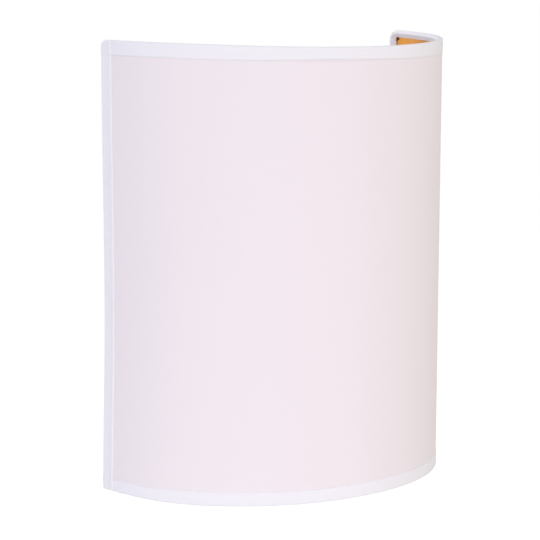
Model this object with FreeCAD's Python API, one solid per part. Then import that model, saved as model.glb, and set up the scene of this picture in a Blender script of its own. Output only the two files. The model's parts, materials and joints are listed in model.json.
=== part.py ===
import FreeCAD, Part

import math
import os

from FreeCAD import Vector

# Half-drum wall light with a fabric shade, in millimetres.
# The wall is the plane y = 0, the front faces -Y and up is +Z.
# The origin is on the wall, midway between the two fixing slots.

# Shade, over its trim tapes
SHADE_HEIGHT = 300.0
SHADE_RADIUS = 130.0
WALL_GAP = 1.0
FABRIC_THICKNESS = 0.5
LINING_THICKNESS = 0.4
TAPE_THICKNESS = 0.35
TAPE_WIDTH = 10.0
TAPE_EDGE_RADIUS = 0.8
WIRE_DIAMETER = 3.0
WIRE_BEND = 3.5

# Flat strips that carry the shade, and the hooks that they hang in
CARRIER_HEIGHT = 12.0
CARRIER_THICKNESS = 1.5
CARRIER_LEVEL = 98.0
CARRIER_PLAY = 0.3
SLIT_PLAY = 0.2
HOOK_SPACING = 64.0
HOOK_WIDTH = 12.0
HOOK_RISE = 8.0
HOOK_BEND = 0.25
LOWER_HOOK_DROP = 1.0

# Plate on the wall
PLATE_THICKNESS = 1.5
PLATE_WIDTH = 112.0
PLATE_NECK_WIDTH = 84.0
PLATE_HEIGHT = 232.0
PLATE_MIDDLE_HEIGHT = 112.0
PLATE_CORNER = 6.0
FIXING_SPACING = 60.0
FIXING_SLOT_WIDTH = 5.0
FIXING_SLOT_LENGTH = 12.0
INLET_LEVEL = 18.0
INLET_CABLE = 8.0
GROMMET_NECK = 12.0
GROMMET_FLANGE = 17.0
GROMMET_FLANGE_THICKNESS = 1.5
GROMMET_LENGTH = 6.0
GROMMET_TAPER = 0.8

# Cover over the terminals
CANOPY_WIDTH = 80.0
CANOPY_HEIGHT = 84.0
CANOPY_DEPTH = 26.0
CANOPY_SHEET = 1.0
CANOPY_CORNER = 10.0
CANOPY_EDGE = 4.0
TAB_REACH = 12.0
TAB_WIDTH = 13.0
TAB_HOLE = 4.5

# Screws, by the diameter of their shank, and their slots
CANOPY_SCREW = 4.0
EARTH_SCREW = 4.0
BLOCK_SCREW = 3.0
LOCK_SCREW = 3.0
HEAD_TO_SHANK = 0.6
HEAD_RIM_TO_HEAD = 0.5
SCREW_SLOT_WIDTH = 0.8
SMALL_SLOT_WIDTH = 0.4
SCREW_SLOT_DEPTH = 0.9
EARTH_WASHER_RADIUS = 5.0
EARTH_WASHER_THICKNESS = 0.8
EARTH_PLACE = (30.0, -24.0)

# Terminal block with three poles
POLE_PITCH = 10.0
POLE_COUNT = 3
TERMINAL_LEVEL = -20.0
TERMINAL_HEIGHT = 20.0
TERMINAL_DEPTH = 14.0
TERMINAL_TUBE = 5.2
TERMINAL_BORE = 3.6
TERMINAL_SCREW = 2.6
TERMINAL_SCREW_ROW = 5.0
TERMINAL_SCREW_SUNK = 1.5
TERMINAL_SCREW_PLAY = 0.3
BLOCK_BASE = 4.0
BLOCK_GAP = 2.0
BLOCK_END = 1.5

# Bent tube from the cover to the lamp holder
TUBE_DIAMETER = 10.0
TUBE_WALL = 1.0
TUBE_BEND = 20.0
TUBE_OUT = 14.0
TUBE_TOP_LEVEL = -34.0
TUBE_LOW_LEVEL = -85.0
NUT_ACROSS_FLATS = 14.0
NUT_HEIGHT = 4.0
WASHER_DIAMETER = 18.0
WASHER_HEIGHT = 0.8
COLLAR_HEIGHT = 3.5
COLLAR_EDGE = 1.2
COLLAR_FOOT = 1.0
COLLAR_COVE = 0.45
NUT_CHAMFER = 0.3

# Lamp holder, upright in front of the wall
LAMP_OUT = 68.0
HOLDER_FOOT = -64.0
HOLDER_JOINT = -38.0
HOLDER_RIM = -10.0
HOLDER_RADIUS = 20.0
HOLDER_NECK_RADIUS = 9.0
HOLDER_NECK_HEIGHT = 8.0
HOLDER_NECK_EDGE = 0.8
HOLDER_WALL = 2.0
SHOULDER_HEIGHT = 13.0
SHOULDER_BULGE = 2.8
SOCKET_DEPTH = 10.0
SOCKET_WALL = 2.0
LOCK_SCREW_HEIGHT = 4.0
SKIRT_TAPER = 1.0
BEAD_HEIGHT = 3.0
BEAD_PROUD = 0.6
CONTACT_LEVEL = -37.0
CONTACT_CARRIER_HEIGHT = 4.0
SHELL_BORE = 26.6
SHELL_WALL = 0.5
SHELL_FLARE = 1.0
SHELL_FLARE_HEIGHT = 2.0
SHELL_BELOW_RIM = 1.5
LEAF_WIDTH = 6.0
LEAF_THICKNESS = 0.5
LEAF_START = -11.0
LEAF_BEND = -5.4
LEAF_CREST = -2.0
LEAF_END = 3.0
SIDE_LEAF_FOOT = 3.6
SIDE_LEAF_HEIGHT = 9.0
RIVET_RADIUS = 0.9
RIVET_HEAD_RADIUS = 1.35
RIVET_HEAD_HEIGHT = 0.6
CENTRE_RIVET_PLACE = -8.0

# Bulb, 60 mm across and 108 mm long
BULB_FOOT = -33.0
BULB_LENGTH = 108.0
BULB_RADIUS = 30.0
FOOT_CONTACT_RADIUS = 4.8
FOOT_CONTACT_EDGE = 1.2
FOOT_CONTACT_HEIGHT = 1.5
FOOT_CONTACT_BULGE = 0.4
INSULATOR_TOP_RADIUS = 11.5
INSULATOR_TOP = 6.0
INSULATOR_BULGE = 0.75
CAP_DIAMETER = 26.0
CAP_LENGTH = 26.0
CAP_SHEET = 0.4
CAP_SHOULDER = 2.0
CAP_LIP = 0.5
DIFFUSER_SKIN = 1.2
HOUSING_WALL = 1.5
HOUSING_TOP = 20.0
HOUSING_RADIUS = 24.5
HOUSING_BAND = 1.2
HOUSING_BAND_HEIGHT = 2.0
HOUSING_FLARE = 2.3
BOARD_LEVEL = 17.0
BOARD_THICKNESS = 1.6
BOARD_RADIUS = 20.4
BOARD_LEDGE = 1.2
CHIP_COUNT = 10
CHIP_CIRCLE = 15.0
CHIP_SIDE = 2.8
CHIP_HEIGHT = 0.7

# What follows from the sizes above
LEAN = math.degrees(math.atan(TAPE_WIDTH / SHADE_RADIUS))
FRONT_SWEEP = 180.0 - 2.0 * LEAN
TAPE_INNER = SHADE_RADIUS - TAPE_THICKNESS
FABRIC_INNER = TAPE_INNER - FABRIC_THICKNESS
LINING_INNER = FABRIC_INNER - LINING_THICKNESS
WIRE_RADIUS = WIRE_DIAMETER / 2.0
WIRE_CIRCLE = LINING_INNER - WIRE_RADIUS
WIRE_INSET = TAPE_THICKNESS + WIRE_RADIUS
FOLD_DEPTH = WIRE_DIAMETER + 2.0 * TAPE_THICKNESS
CORNER = WIRE_BEND + WIRE_INSET
CORNER_OUT = TAPE_WIDTH - CORNER
CORNER_LEVEL = SHADE_HEIGHT / 2.0 - CORNER
CARRIER_BACK = -(PLATE_THICKNESS + CARRIER_PLAY)
CARRIER_FRONT = CARRIER_BACK - CARRIER_THICKNESS
CANOPY_BACK = -PLATE_THICKNESS
TUBE_RADIUS = TUBE_DIAMETER / 2.0
TUBE_END_LEVEL = HOLDER_FOOT + SOCKET_DEPTH
CANOPY_FLOOR = -CANOPY_HEIGHT / 2.0
CANOPY_SCREW_OUT = CANOPY_WIDTH / 2.0 + TAB_REACH - TAB_WIDTH / 2.0
TERMINAL_AXIS = CANOPY_BACK - TERMINAL_DEPTH / 2.0
TERMINAL_FRONT = CANOPY_BACK - TERMINAL_DEPTH
HOLDER_BORE = HOLDER_RADIUS - HOLDER_WALL
LOCK_SCREW_LEVEL = HOLDER_FOOT + LOCK_SCREW_HEIGHT
SHELL_RADIUS = SHELL_BORE / 2.0 + SHELL_WALL
SIDE_RIVET_PLACE = SHELL_RADIUS + (LEAF_THICKNESS + SIDE_LEAF_FOOT) / 2.0
RIVET_PLACES = (CENTRE_RIVET_PLACE, SIDE_RIVET_PLACE)
BULB_TOP = BULB_FOOT + BULB_LENGTH
BULB_CENTRE = BULB_TOP - BULB_RADIUS
CAP_FOOT = BULB_FOOT + INSULATOR_TOP
CAP_TOP = BULB_FOOT + CAP_LENGTH
CAP_INNER = CAP_DIAMETER / 2.0 - CAP_SHEET

UP = Vector(0, 0, 1)
ORIGIN = Vector(0, 0, 0)
ACROSS = Vector(1, 0, 0)
TO_WALL = Vector(0, 1, 0)
JOINING = 1e-6
CUT_MARGIN = 1.0


# Profiles and small shapes

def closed_face(start, *steps):
    """Face bounded by straight lines to points, and by arcs given as (middle point, end point)."""
    edges = []
    here = start
    for step in steps:
        if isinstance(step, tuple):
            middle, end = step
            edges.append(Part.Arc(here, middle, end).toShape())
        else:
            end = step
            edges.append(Part.LineSegment(here, end).toShape())
        here = end
    if here.distanceToPoint(start) > JOINING:
        edges.append(Part.LineSegment(here, start).toShape())
    return Part.Face(Part.Wire(edges))


def square_to(run):
    """Unit vector to the left of a run in the x-z plane."""
    return Vector(-run.z, 0, run.x).normalize()


def bowed(start, end, bulge):
    """Arc step for closed_face, whose middle stands off the chord by the bulge, to its left."""
    return (start + end) * 0.5 + square_to(end - start) * bulge, end


def dome_middle(radius, rise):
    """Halfway along a dome's section: how far out, and how far below the crown."""
    curve = (radius ** 2 + rise ** 2) / (2.0 * rise)
    half_turn = math.asin(radius / curve) / 2.0
    return curve * math.sin(half_turn), curve * (1.0 - math.cos(half_turn))


def disc(radius, centre, normal):
    return Part.Face(Part.Wire(Part.makeCircle(radius, centre, normal)))


def fused(shapes):
    whole = shapes[0]
    if len(shapes) > 1:
        whole = shapes[0].multiFuse(shapes[1:])
    whole = whole.removeSplitter()
    if len(whole.Solids) == 1:
        return whole.Solids[0]
    return whole


def box(x, y, z):
    """Box between two limits on each axis."""
    return Part.makeBox(x[1] - x[0], y[1] - y[0], z[1] - z[0], Vector(x[0], y[0], z[0]))


def rounded_plate(width, height, corner, front, back):
    """Upright plate centred on the origin, with rounded corners."""
    plate = box((-width / 2, width / 2), (front, back), (-height / 2, height / 2))
    return plate.makeFillet(corner, [edge for edge in plate.Edges if is_along(edge, TO_WALL)])


def is_along(edge, direction):
    ends = [vertex.Point for vertex in edge.Vertexes]
    if len(ends) != 2:
        return False
    run = ends[1] - ends[0]
    return abs(run.dot(direction)) > run.Length - JOINING


def rod(radius, start, length, direction):
    return Part.makeCylinder(radius, length, start, direction)


def ring(outer, inner, start, length, direction):
    return rod(outer, start, length, direction).cut(rod(inner, start, length, direction))


def both_sides(shape):
    """The shape and its mirror image in the middle plane of the light."""
    return [shape, shape.mirror(ORIGIN, ACROSS)]


def upper_and_lower(shape):
    return [shape, shape.mirror(ORIGIN, UP)]


# Shade. Its plan is an arc with a short straight run at each end, as wide as the tape.
# The right-hand run is drawn with x across the sheet and y towards the wall, and then leaned into place.

def into_place(shape):
    placed = shape.copy()
    placed.rotate(ORIGIN, UP, -LEAN)
    placed.translate(Vector(0, -WALL_GAP, 0))
    return placed


def round_front(face):
    """Carry an upright profile at the start of the arc round the front of the shade."""
    return into_place(face.revolve(ORIGIN, UP, -FRONT_SWEEP))


def end_panel(inner, thickness, margin):
    """Flat end of a sheet, whose rounded corners keep a margin inside the edge of the shade."""
    corner = CORNER - margin
    back = TAPE_WIDTH - margin
    cut = corner * (1.0 - math.sqrt(0.5))
    top = SHADE_HEIGHT / 2.0 - margin
    face = closed_face(
        Vector(inner, 0, -top),
        Vector(inner, back - corner, -top),
        (Vector(inner, back - cut, -top + cut), Vector(inner, back, -top + corner)),
        Vector(inner, back, top - corner),
        (Vector(inner, back - cut, top - cut), Vector(inner, back - corner, top)),
        Vector(inner, 0, top))
    return face.extrude(Vector(thickness, 0, 0))


def half_round_sheet(inner, thickness):
    top = SHADE_HEIGHT / 2.0 - TAPE_THICKNESS
    section = closed_face(
        Vector(inner, 0, -top),
        Vector(inner + thickness, 0, -top),
        Vector(inner + thickness, 0, top),
        Vector(inner, 0, top))
    ends = both_sides(into_place(end_panel(inner, thickness, TAPE_THICKNESS)))
    return fused([round_front(section)] + ends)


def fabric_cover():
    return half_round_sheet(FABRIC_INNER, FABRIC_THICKNESS)


def gold_lining():
    return half_round_sheet(LINING_INNER, LINING_THICKNESS)


def fold_section(leg, place):
    """Section of the tape: a leg outside, over the sheet's edge, round the wire and tucked under it.

    place turns a radius and a depth below the edge into a point.
    """
    inner = WIRE_RADIUS
    outer = WIRE_RADIUS + TAPE_THICKNESS
    edge_cut = TAPE_EDGE_RADIUS * (1.0 - math.sqrt(0.5))
    return closed_face(
        place(SHADE_RADIUS, leg),
        place(SHADE_RADIUS, TAPE_EDGE_RADIUS),
        (place(SHADE_RADIUS - edge_cut, edge_cut), place(SHADE_RADIUS - TAPE_EDGE_RADIUS, 0)),
        place(WIRE_CIRCLE, 0),
        (place(WIRE_CIRCLE - outer, WIRE_INSET), place(WIRE_CIRCLE, FOLD_DEPTH)),
        place(LINING_INNER, FOLD_DEPTH),
        place(LINING_INNER, FOLD_DEPTH - TAPE_THICKNESS),
        place(WIRE_CIRCLE, FOLD_DEPTH - TAPE_THICKNESS),
        (place(WIRE_CIRCLE - inner, WIRE_INSET), place(WIRE_CIRCLE, TAPE_THICKNESS)),
        place(TAPE_INNER, TAPE_THICKNESS),
        place(TAPE_INNER, leg))


def on_rim(radius, depth):
    return Vector(radius, 0, SHADE_HEIGHT / 2.0 - depth)


def on_back_edge(radius, depth):
    return Vector(radius, TAPE_WIDTH - depth, CORNER_LEVEL)


def top_trim():
    return round_front(fold_section(TAPE_WIDTH, on_rim))


def bottom_trim():
    return top_trim().mirror(ORIGIN, UP)


def follow_back_edge(section):
    """Carry a level section down the back edge, round both corners and on to the ends of the arc."""
    upright = section.extrude(Vector(0, 0, -2.0 * CORNER_LEVEL))
    pivot = Vector(0, CORNER_OUT, CORNER_LEVEL)
    corner = section.revolve(pivot, ACROSS, 90)
    turned = section.copy()
    turned.rotate(pivot, ACROSS, 90)
    run = turned.extrude(Vector(0, -CORNER_OUT, 0))
    return fused([upright] + upper_and_lower(corner) + upper_and_lower(run))


def carrier_slits():
    """Where the carriers pass through the tape to reach the wire."""
    slits = []
    for level in (-CARRIER_LEVEL, CARRIER_LEVEL):
        half = CARRIER_HEIGHT / 2.0 + SLIT_PLAY
        slits.append(box((0, WIRE_CIRCLE), (CARRIER_FRONT - SLIT_PLAY, CARRIER_BACK + SLIT_PLAY),
                         (level - half, level + half)))
    return slits


def right_side_trim():
    fold = follow_back_edge(fold_section(FOLD_DEPTH, on_back_edge))
    leg = end_panel(TAPE_INNER, TAPE_THICKNESS, 0)
    return fused([into_place(fused([fold, leg]).cut(edge_rounding()))]).cut(carrier_slits())


def edge_rounding():
    """What the rounded outer edge of the fold takes off the flat outer leg of the tape."""
    def place(outwards, depth):
        return on_back_edge(SHADE_RADIUS - TAPE_EDGE_RADIUS + outwards, depth)
    diagonal = TAPE_EDGE_RADIUS * math.sqrt(0.5)
    section = closed_face(
        place(0, 0),
        (place(diagonal, TAPE_EDGE_RADIUS - diagonal), place(TAPE_EDGE_RADIUS, TAPE_EDGE_RADIUS)),
        place(TAPE_EDGE_RADIUS + CUT_MARGIN, TAPE_EDGE_RADIUS),
        place(TAPE_EDGE_RADIUS + CUT_MARGIN, -CUT_MARGIN),
        place(0, -CUT_MARGIN))
    return follow_back_edge(section)


def left_side_trim():
    return right_side_trim().mirror(ORIGIN, ACROSS)


def rim_wire():
    """One wire round both rims and down both back edges."""
    upright_section = disc(WIRE_RADIUS, Vector(WIRE_CIRCLE, TAPE_WIDTH - WIRE_INSET, CORNER_LEVEL), UP)
    ends = both_sides(into_place(follow_back_edge(upright_section)))
    rim_section = disc(WIRE_RADIUS, Vector(WIRE_CIRCLE, 0, SHADE_HEIGHT / 2.0 - WIRE_INSET), TO_WALL)
    rims = upper_and_lower(round_front(rim_section))
    return fused(ends + rims)


def carrier(level):
    """Flat strip on edge, with its ends shaped to the upright runs of the wire."""
    upright = into_place(rod(WIRE_RADIUS, Vector(WIRE_CIRCLE, TAPE_WIDTH - WIRE_INSET, -CORNER_LEVEL),
                             2.0 * CORNER_LEVEL, UP))
    middle = upright.CenterOfMass.x
    half = CARRIER_HEIGHT / 2.0
    strip = box((-middle, middle), (CARRIER_FRONT, CARRIER_BACK), (level - half, level + half))
    return strip.cut(both_sides(upright)).Solids[0]


# Wall plate with its hooks

def hook(trough):
    """Tab lanced out of the plate, bent forwards under the carrier and up in front of it."""
    inner = HOOK_BEND
    outer = HOOK_BEND + PLATE_THICKNESS
    back = -outer
    front = CARRIER_FRONT - CARRIER_PLAY + inner
    tip = PLATE_THICKNESS / 2.0
    root = trough - outer - PLATE_THICKNESS
    upper = trough + HOOK_RISE

    def quarter(centre_y, centre_z, radius, side, level):
        bulge = radius * math.sqrt(0.5)
        return Vector(0, centre_y + side * bulge, centre_z + level * bulge)

    low = trough - outer
    high = trough + inner
    section = closed_face(
        Vector(0, 0, root),
        Vector(0, 0, low),
        (quarter(back, low, outer, 1, 1), Vector(0, back, trough)),
        Vector(0, front, trough),
        (quarter(front, high, inner, -1, -1), Vector(0, front - inner, high)),
        Vector(0, front - inner, upper - tip),
        (Vector(0, front - inner - tip, upper), Vector(0, front - outer, upper - tip)),
        Vector(0, front - outer, high),
        (quarter(front, high, outer, -1, -1), Vector(0, front, trough - PLATE_THICKNESS)),
        Vector(0, back, trough - PLATE_THICKNESS),
        (quarter(back, low, inner, 1, 1), Vector(0, -PLATE_THICKNESS, low)),
        Vector(0, -PLATE_THICKNESS, root))
    right = section.extrude(Vector(HOOK_WIDTH, 0, 0))
    right.translate(Vector((HOOK_SPACING - HOOK_WIDTH) / 2.0, 0, 0))
    return both_sides(right)


def hook_windows(trough):
    """Openings that the lanced tabs leave in the plate."""
    left = (HOOK_SPACING - HOOK_WIDTH) / 2.0
    low = trough - HOOK_BEND - PLATE_THICKNESS
    high = trough + CARRIER_HEIGHT
    return both_sides(box((left, left + HOOK_WIDTH), (-PLATE_THICKNESS, 0), (low, high)))


def slot(centre_x, width, length):
    """Cutter for a level slot through the plate."""
    radius = width / 2.0
    reach = length / 2.0 - radius
    front = Vector(centre_x, -PLATE_THICKNESS, 0)
    ends = [rod(radius, front + Vector(side * reach, 0, 0), PLATE_THICKNESS, TO_WALL) for side in (-1, 1)]
    middle = box((centre_x - reach, centre_x + reach), (-PLATE_THICKNESS, 0), (-radius, radius))
    return fused(ends + [middle])


def plate_hole(radius, x, z):
    return rod(radius, Vector(x, -PLATE_THICKNESS, z), PLATE_THICKNESS, TO_WALL)


def wall_plate():
    middle = box((-PLATE_WIDTH / 2, PLATE_WIDTH / 2), (-PLATE_THICKNESS, 0),
                 (-PLATE_MIDDLE_HEIGHT / 2, PLATE_MIDDLE_HEIGHT / 2))
    neck = box((-PLATE_NECK_WIDTH / 2, PLATE_NECK_WIDTH / 2), (-PLATE_THICKNESS, 0),
               (-PLATE_HEIGHT / 2, PLATE_HEIGHT / 2))
    blank = fused([middle, neck])
    blank = blank.makeFillet(PLATE_CORNER, [edge for edge in blank.Edges if is_along(edge, TO_WALL)])
    upper_trough = CARRIER_LEVEL - CARRIER_HEIGHT / 2.0
    lower_trough = -CARRIER_LEVEL - CARRIER_HEIGHT / 2.0 - LOWER_HOOK_DROP
    cuts = hook_windows(upper_trough) + hook_windows(lower_trough)
    cuts += [slot(side * FIXING_SPACING / 2.0, FIXING_SLOT_WIDTH, FIXING_SLOT_LENGTH) for side in (-1, 1)]
    cuts += [plate_hole(CANOPY_SCREW / 2.0, side * CANOPY_SCREW_OUT, 0) for side in (-1, 1)]
    cuts.append(plate_hole(GROMMET_NECK / 2.0, 0, INLET_LEVEL))
    cuts.append(plate_hole(EARTH_SCREW / 2.0, *EARTH_PLACE))
    cuts.append(plate_hole(BLOCK_SCREW / 2.0, POLE_PITCH / 2.0, TERMINAL_LEVEL))
    return fused([blank.cut(cuts)] + hook(upper_trough) + hook(lower_trough))


# Cover over the terminals

def tray(width, height, depth, corner, edge):
    """Block with rounded corners and a rounded front edge, standing on the plate."""
    front = CANOPY_BACK - depth
    block = rounded_plate(width, height, corner, front, CANOPY_BACK)
    face = min(block.Faces, key=lambda one: one.CenterOfMass.y)
    return block.makeFillet(edge, face.Edges)


def canopy():
    outside = tray(CANOPY_WIDTH, CANOPY_HEIGHT, CANOPY_DEPTH, CANOPY_CORNER, CANOPY_EDGE)
    inside = tray(CANOPY_WIDTH - 2.0 * CANOPY_SHEET, CANOPY_HEIGHT - 2.0 * CANOPY_SHEET,
                  CANOPY_DEPTH - CANOPY_SHEET, CANOPY_CORNER - CANOPY_SHEET, CANOPY_EDGE - CANOPY_SHEET)
    shell = outside.cut(inside)
    front = CANOPY_BACK - CANOPY_SHEET
    wall_middle = CANOPY_WIDTH / 2.0 - CANOPY_SHEET / 2.0
    tab = box((wall_middle, CANOPY_SCREW_OUT), (front, CANOPY_BACK), (-TAB_WIDTH / 2, TAB_WIDTH / 2))
    end = rod(TAB_WIDTH / 2.0, Vector(CANOPY_SCREW_OUT, front, 0), CANOPY_SHEET, TO_WALL)
    hole = rod(TAB_HOLE / 2.0, Vector(CANOPY_SCREW_OUT, front, 0), CANOPY_SHEET, TO_WALL)
    tabs = both_sides(tab.fuse(end).cut(hole))
    floor_hole = rod(TUBE_RADIUS, Vector(0, -TUBE_OUT, CANOPY_FLOOR), CANOPY_SHEET, UP)
    return fused([shell.cut(floor_hole)] + tabs)


# Screws

def pan_head_screw(shank, length, x, seat, z):
    """Slotted screw whose domed head sits on a face at y = seat, and whose shank runs to the wall side."""
    head_radius = shank
    head_height = HEAD_TO_SHANK * shank
    rim = HEAD_RIM_TO_HEAD * head_height
    out, drop = dome_middle(head_radius, head_height - rim)
    head = closed_face(
        Vector(0, 0, 0),
        Vector(head_radius, 0, 0),
        Vector(head_radius, -rim, 0),
        (Vector(out, drop - head_height, 0), Vector(0, -head_height, 0)))
    head = head.revolve(ORIGIN, TO_WALL, 360)
    driver_slot = box((-SCREW_SLOT_WIDTH / 2, SCREW_SLOT_WIDTH / 2),
                      (-head_height, -head_height + SCREW_SLOT_DEPTH),
                      (-head_radius, head_radius))
    screw = fused([head.cut(driver_slot), rod(shank / 2.0, ORIGIN, length, TO_WALL)])
    screw.translate(Vector(x, seat, z))
    return screw


def canopy_screws():
    seat = CANOPY_BACK - CANOPY_SHEET
    right = pan_head_screw(CANOPY_SCREW, -seat, CANOPY_SCREW_OUT, seat, 0)
    return Part.makeCompound(both_sides(right))


def earth_washer():
    x, z = EARTH_PLACE
    start = Vector(x, -PLATE_THICKNESS - EARTH_WASHER_THICKNESS, z)
    return ring(EARTH_WASHER_RADIUS, EARTH_SCREW / 2.0, start, EARTH_WASHER_THICKNESS, TO_WALL)


def earth_screw():
    x, z = EARTH_PLACE
    seat = -PLATE_THICKNESS - EARTH_WASHER_THICKNESS
    return pan_head_screw(EARTH_SCREW, -seat, x, seat, z)


# Mains inlet and terminals

def cable_grommet():
    """Bushing in the plate: a neck in the hole, a flange against the plate and a tapered nose."""
    bore = INLET_CABLE / 2.0
    neck = GROMMET_NECK / 2.0
    flange = GROMMET_FLANGE / 2.0
    flange_front = -PLATE_THICKNESS - GROMMET_FLANGE_THICKNESS
    section = closed_face(
        Vector(bore, 0, 0),
        Vector(neck, 0, 0),
        Vector(neck, -PLATE_THICKNESS, 0),
        Vector(flange, -PLATE_THICKNESS, 0),
        Vector(flange, flange_front, 0),
        Vector(neck, flange_front, 0),
        Vector(neck - GROMMET_TAPER, -GROMMET_LENGTH, 0),
        Vector(bore, -GROMMET_LENGTH, 0))
    grommet = section.revolve(ORIGIN, TO_WALL, 360)
    grommet.translate(Vector(0, 0, INLET_LEVEL))
    return grommet


def pole_places():
    middle = (POLE_COUNT - 1) / 2.0
    return [(index - middle) * POLE_PITCH for index in range(POLE_COUNT)]


def terminal_screw_places():
    return [(x, TERMINAL_LEVEL + side * TERMINAL_SCREW_ROW) for x in pole_places() for side in (-1, 1)]


def terminal_block():
    """Moulded block: a low base, a raised middle over each pole, wire holes and screw wells."""
    half = TERMINAL_HEIGHT / 2.0
    width = POLE_COUNT * POLE_PITCH
    step = CANOPY_BACK - BLOCK_BASE
    base = box((-width / 2, width / 2), (step, CANOPY_BACK), (TERMINAL_LEVEL - half, TERMINAL_LEVEL + half))
    solids = [base]
    cuts = []
    post = (POLE_PITCH - BLOCK_GAP) / 2.0
    for x in pole_places():
        solids.append(box((x - post, x + post), (TERMINAL_FRONT, CANOPY_BACK),
                          (TERMINAL_LEVEL - half + BLOCK_END, TERMINAL_LEVEL + half - BLOCK_END)))
        cuts.append(rod(TERMINAL_TUBE / 2.0, Vector(x, TERMINAL_AXIS, TERMINAL_LEVEL - half),
                        TERMINAL_HEIGHT, UP))
    well = TERMINAL_SCREW / 2.0 + TERMINAL_SCREW_PLAY
    for x, z in terminal_screw_places():
        cuts.append(rod(well, Vector(x, TERMINAL_FRONT, z), TERMINAL_AXIS - TERMINAL_FRONT, TO_WALL))
    between = POLE_PITCH / 2.0
    cuts.append(rod(BLOCK_SCREW / 2.0, Vector(between, step, TERMINAL_LEVEL), BLOCK_BASE, TO_WALL))
    cuts.append(rod(BLOCK_SCREW, Vector(between, TERMINAL_FRONT, TERMINAL_LEVEL),
                    TERMINAL_DEPTH - BLOCK_BASE, TO_WALL))
    return fused(solids).cut(cuts).Solids[0]


def terminal_tubes():
    """Brass tube in each pole, with two threaded holes for its clamping screws."""
    length = TERMINAL_HEIGHT - 2.0 * BLOCK_END
    holes = [rod(TERMINAL_SCREW / 2.0, Vector(x, TERMINAL_AXIS - TERMINAL_TUBE, z), TERMINAL_TUBE, TO_WALL)
             for x, z in terminal_screw_places()]
    tubes = []
    for x in pole_places():
        foot = Vector(x, TERMINAL_AXIS, TERMINAL_LEVEL - length / 2.0)
        tube = ring(TERMINAL_TUBE / 2.0, TERMINAL_BORE / 2.0, foot, length, UP)
        tubes.append(tube.cut(holes).Solids[0])
    return Part.makeCompound(tubes)


def level_slot(x, front, z, reach):
    """Cutter for the narrow slot in the end of a small screw, whose end faces forwards."""
    half = SMALL_SLOT_WIDTH / 2.0
    return box((x - reach, x + reach), (front, front + SCREW_SLOT_DEPTH), (z - half, z + half))


def terminal_screws():
    front = TERMINAL_FRONT + TERMINAL_SCREW_SUNK
    screws = []
    for x, z in terminal_screw_places():
        body = rod(TERMINAL_SCREW / 2.0, Vector(x, front, z), TERMINAL_AXIS - front, TO_WALL)
        screws.append(body.cut(level_slot(x, front, z, TERMINAL_SCREW)))
    return Part.makeCompound(screws)


def terminal_fixing_screw():
    seat = CANOPY_BACK - BLOCK_BASE
    return pan_head_screw(BLOCK_SCREW, -seat, POLE_PITCH / 2.0, seat, TERMINAL_LEVEL)


# Bent tube and what clamps it to the cover

def arm_rod(radius):
    """Round bar on the tube's line: down out of the cover, forwards in an elbow and up in another."""
    bend_level = TUBE_LOW_LEVEL + TUBE_BEND
    behind = Vector(0, -TUBE_OUT, bend_level)
    below_lamp = Vector(0, -LAMP_OUT, bend_level)
    rear_pivot = behind - TO_WALL * TUBE_BEND
    front_pivot = below_lamp + TO_WALL * TUBE_BEND
    rear_elbow = disc(radius, behind, UP).revolve(rear_pivot, ACROSS, -90)
    front_elbow = disc(radius, below_lamp, UP).revolve(front_pivot, ACROSS, 90)
    down = rod(radius, behind, TUBE_TOP_LEVEL - bend_level, UP)
    along = rod(radius, Vector(0, rear_pivot.y, TUBE_LOW_LEVEL), rear_pivot.y - front_pivot.y, -TO_WALL)
    rise = rod(radius, below_lamp, TUBE_END_LEVEL - bend_level, UP)
    return fused([down, rear_elbow, along, front_elbow, rise])


def arm_tube():
    return arm_rod(TUBE_RADIUS).cut(arm_rod(TUBE_RADIUS - TUBE_WALL)).Solids[0]


def arm_collar():
    """Turned collar under the cover, coved down to the tube."""
    low = CANOPY_FLOOR - COLLAR_HEIGHT
    edge = Vector(WASHER_DIAMETER / 2, 0, CANOPY_FLOOR - COLLAR_EDGE)
    section = closed_face(
        Vector(TUBE_RADIUS, 0, CANOPY_FLOOR),
        Vector(WASHER_DIAMETER / 2, 0, CANOPY_FLOOR),
        edge,
        bowed(edge, Vector(TUBE_RADIUS + COLLAR_FOOT, 0, low), -COLLAR_COVE),
        Vector(TUBE_RADIUS, 0, low))
    collar = section.revolve(ORIGIN, UP, 360)
    collar.translate(Vector(0, -TUBE_OUT, 0))
    return collar


def arm_washer():
    start = Vector(0, -TUBE_OUT, CANOPY_FLOOR + CANOPY_SHEET)
    return ring(WASHER_DIAMETER / 2.0, TUBE_RADIUS, start, WASHER_HEIGHT, UP)


def arm_nut():
    """Hexagon nut with chamfered corners on its upper face."""
    low = CANOPY_FLOOR + CANOPY_SHEET + WASHER_HEIGHT
    half = NUT_ACROSS_FLATS / 2.0
    corner = NUT_ACROSS_FLATS / math.sqrt(3.0)
    turns = [math.radians(60 * number) for number in range(7)]
    corners = [Vector(corner * math.cos(turn), corner * math.sin(turn), 0) for turn in turns]
    prism = Part.Face(Part.makePolygon(corners)).extrude(Vector(0, 0, NUT_HEIGHT))
    chamfer = Part.makeCone(half - NUT_CHAMFER + NUT_HEIGHT, half - NUT_CHAMFER, NUT_HEIGHT)
    nut = prism.common(chamfer).cut(rod(TUBE_RADIUS, ORIGIN, NUT_HEIGHT, UP))
    nut.translate(Vector(0, -TUBE_OUT, low))
    return nut.Solids[0]


# Lamp holder, turned about the lamp's upright axis

def turned(section):
    body = section.revolve(ORIGIN, UP, 360)
    body.translate(Vector(0, -LAMP_OUT, 0))
    return body


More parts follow.
